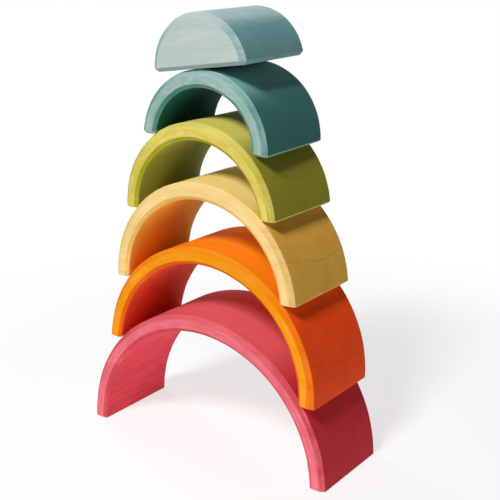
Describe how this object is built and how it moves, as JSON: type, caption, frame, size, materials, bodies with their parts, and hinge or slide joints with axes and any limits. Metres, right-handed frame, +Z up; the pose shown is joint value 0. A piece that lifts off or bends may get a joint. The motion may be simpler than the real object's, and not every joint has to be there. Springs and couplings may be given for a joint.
{
  "type": "rainbow stacker",
  "caption": "Wooden rainbow stacker: loose round arches of shrinking span and a half disc, which nest as a rainbow and stand here as a tower, each arch astride the one below.",
  "frame": {"origin": "on the table, midway between the feet of the largest arch", "axes": "+X across the span to the right as seen from the front, +Y from the front face to the back, +Z up the tower"},
  "size_m": [0.1698, 0.0629, 0.2541],
  "materials": {
    "pink_stain": "matt see-through stain, grain showing",
    "orange_stain": "matt see-through stain, grain showing",
    "yellow_stain": "matt see-through stain, grain showing",
    "lime_stain": "matt see-through stain, grain showing",
    "teal_stain": "matt see-through stain, grain showing",
    "blue_stain": "matt see-through stain, grain showing"
  },
  "bodies": {
    "pink_arch": {"pink_arch": "pink_stain"},
    "orange_arch": {"orange_arch": "orange_stain"},
    "yellow_arch": {"yellow_arch": "yellow_stain"},
    "lime_arch": {"lime_arch": "lime_stain"},
    "teal_arch": {"teal_arch": "teal_stain"},
    "blue_half_disc": {"blue_half_disc": "blue_stain"}
  },
  "joints": [
    {"name": "lift_orange_arch", "type": "slide", "parent": "pink_arch", "child": "orange_arch", "axis": [0, 0, 1], "range_m": [0, 0.05]},
    {"name": "lift_yellow_arch", "type": "slide", "parent": "orange_arch", "child": "yellow_arch", "axis": [0, 0, 1], "range_m": [0, 0.04]},
    {"name": "lift_lime_arch", "type": "slide", "parent": "yellow_arch", "child": "lime_arch", "axis": [0, 0, 1], "range_m": [0, 0.035]},
    {"name": "lift_teal_arch", "type": "slide", "parent": "lime_arch", "child": "teal_arch", "axis": [0, 0, 1], "range_m": [0, 0.03]},
    {"name": "lift_blue_half_disc", "type": "slide", "parent": "teal_arch", "child": "blue_half_disc", "axis": [0, 0, 1], "range_m": [0, 0.03]}
  ]
}
